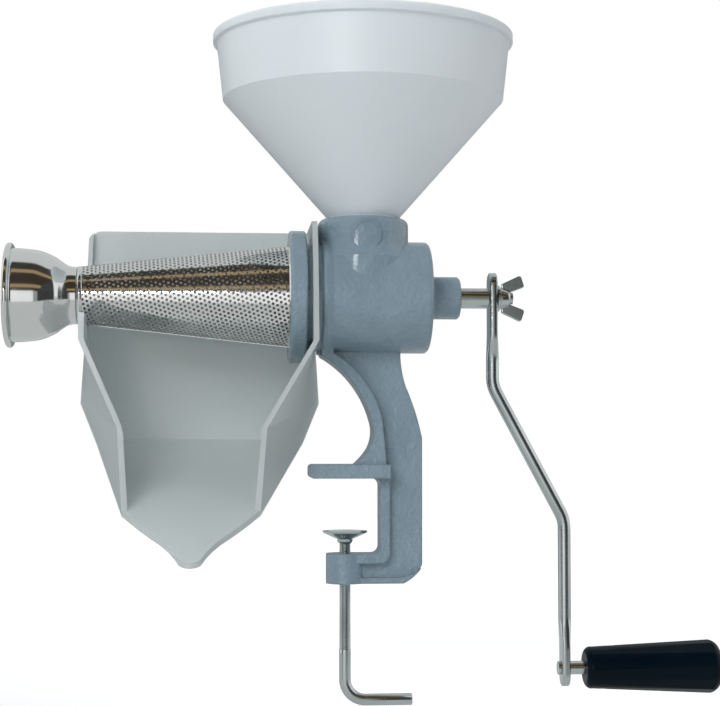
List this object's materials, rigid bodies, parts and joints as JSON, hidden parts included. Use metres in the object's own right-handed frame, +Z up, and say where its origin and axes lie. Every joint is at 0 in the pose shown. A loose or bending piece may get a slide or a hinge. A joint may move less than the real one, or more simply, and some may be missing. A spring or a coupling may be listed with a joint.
{
  "type": "food mill",
  "caption": "Clamp-on hand-cranked food mill: funnel hopper over a cast screw chamber, conical strainer screen with juice chute and waste bell, cranked grip and C-clamp leg.",
  "frame": {"origin": "on the underside of the clamp's upper jaw, on the clamp screw's axis", "axes": "+Z up, +X along the feed screw toward the crank, +Y away from the pouring side"},
  "size_m": [0.4876, 0.2212, 0.458],
  "materials": {
    "paint": "glossy blue-grey paint over casting",
    "bronze": "turned bronze",
    "rubber": "black rubber",
    "steel": "turned steel",
    "zinc": "bright zinc plating",
    "screw_plastic": "white moulded plastic",
    "stainless": "polished stainless steel",
    "chute_plastic": "translucent moulded plastic",
    "hopper_plastic": "milky white moulded plastic",
    "grip_plastic": "blue-black moulded plastic"
  },
  "bodies": {
    "frame": {"body_casting": "paint", "rear_bush": "bronze", "shaft_seal": "rubber", "strainer_screen": "stainless", "screen_ring": "stainless", "nose_gasket": "rubber", "ring_nut": "paint", "waste_bell": "stainless", "juice_chute": "chute_plastic"},
    "hopper": {"hopper": "hopper_plastic"},
    "drive": {"drive_shaft": "zinc", "feed_screw": "screw_plastic", "thrust_washer": "steel", "crank_arm": "zinc", "crank_washer": "zinc", "wing_nut": "zinc", "grip_spindle": "zinc", "grip_retainer": "steel"},
    "grip": {"grip": "grip_plastic"},
    "clamp_pad": {"clamp_pad": "zinc", "pad_collar": "zinc"},
    "clamp_screw": {"clamp_screw": "zinc"}
  },
  "joints": [
    {"name": "crank_turn", "type": "hinge", "parent": "frame", "child": "drive", "pos_m": [0.09, 0, 0.1234], "axis": [1, 0, 0], "continuous": true},
    {"name": "grip_spin", "type": "hinge", "parent": "drive", "child": "grip", "pos_m": [0.21, 0, -0.1302], "axis": [1, 0, 0], "continuous": true},
    {"name": "pad_travel", "type": "slide", "parent": "frame", "child": "clamp_pad", "axis": [0, 0, 1], "range_m": [-0.004, 0.035]},
    {"name": "screw_turn", "type": "hinge", "parent": "clamp_pad", "child": "clamp_screw", "pos_m": [0, 0, -0.06], "axis": [0, 0, 1], "range_deg": [-1200, 10100]},
    {"name": "hopper_lift", "type": "slide", "parent": "frame", "child": "hopper", "axis": [0, 0, 1], "range_m": [0, 0.12]}
  ],
  "couplings": [
    {"joint": "screw_turn", "follows": "pad_travel", "rad_per_m": 5026.5}
  ]
}
